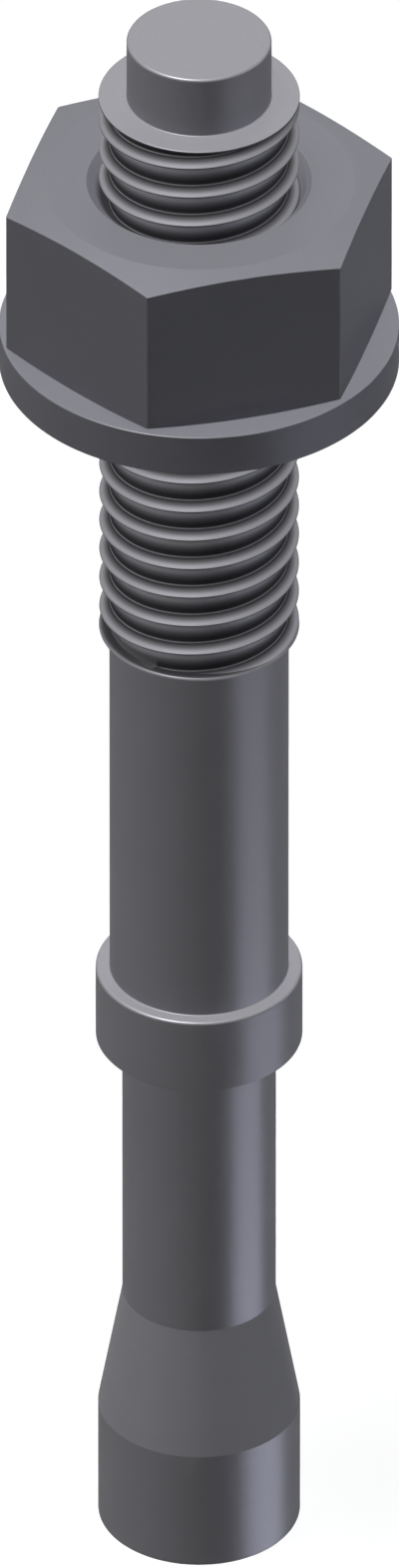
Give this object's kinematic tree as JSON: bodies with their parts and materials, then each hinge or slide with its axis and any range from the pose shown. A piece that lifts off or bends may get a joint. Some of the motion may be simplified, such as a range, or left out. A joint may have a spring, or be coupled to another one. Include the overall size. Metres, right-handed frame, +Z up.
{
  "type": "expansion bolt",
  "caption": "Steel expansion bolt with a coned foot, slim neck, collar, plain shank, raised thread and drive pin, carrying a hex nut on a flat washer.",
  "frame": {"origin": "middle of the flat end of the foot, on the surface that the bolt stands on", "axes": "+Z up the bolt's axis, from the foot to the drive pin; +X to a corner of the hex nut; right-handed"},
  "size_m": [0.02, 0.02, 0.0896],
  "materials": {
    "bolt_steel": "satin, cold formed",
    "nut_steel": "satin, turned faces",
    "washer_steel": "satin, stamped"
  },
  "bodies": {
    "bolt": {"anchor_bolt": "bolt_steel"},
    "washer": {"flat_washer": "washer_steel"},
    "nut": {"hex_nut": "nut_steel"}
  },
  "joints": [
    {"name": "nut_travel", "type": "slide", "parent": "bolt", "child": "washer", "axis": [0, 0, 1], "range_m": [-0.018, 0.00502]},
    {"name": "nut_spin", "type": "hinge", "parent": "washer", "child": "nut", "pos_m": [0, 0, 0.07245], "axis": [0, 0, 1], "range_deg": [-3744, 1044]}
  ],
  "couplings": [
    {"joint": "nut_travel", "follows": "nut_spin", "m_per_rad": 0.00027534}
  ]
}
